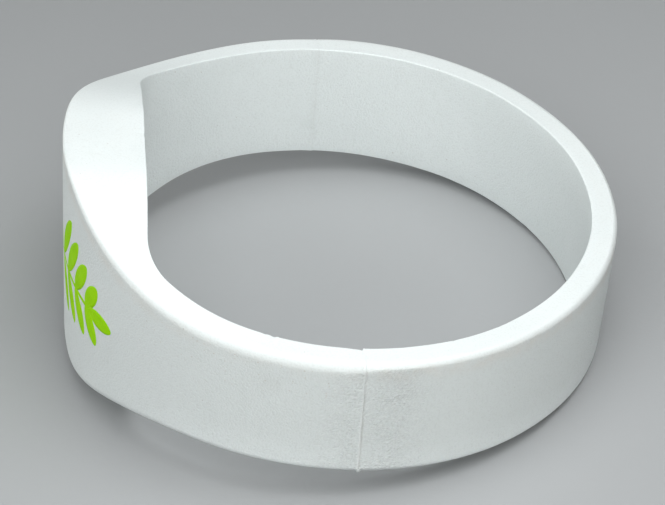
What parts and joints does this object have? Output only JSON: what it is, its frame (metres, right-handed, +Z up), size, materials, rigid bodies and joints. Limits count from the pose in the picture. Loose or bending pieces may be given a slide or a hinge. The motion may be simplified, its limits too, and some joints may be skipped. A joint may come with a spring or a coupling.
{
  "type": "silicone wristband",
  "caption": "Closed silicone wristband: a round band that flares and thickens into a broad head, flat against the wrist and rounded outside; lies on its side.",
  "frame": {"origin": "on the surface that the band lies on, under the middle of its outline seen from above", "axes": "+Z up, off the surface; the head points to -X and the plain side of the band to +X; the XZ plane is the plane of symmetry. The ring's own axis leans 6.4 degrees from +Z towards +X, because the wide head props that side up"},
  "size_m": [0.0726, 0.0718, 0.0315],
  "materials": {
    "silicone": "matt white silicone with a fine moulded grain",
    "print": "flat apple-green ink, matt, on the head's outer face"
  },
  "bodies": {
    "root": {"wristband": "silicone"}
  },
  "joints": []
}
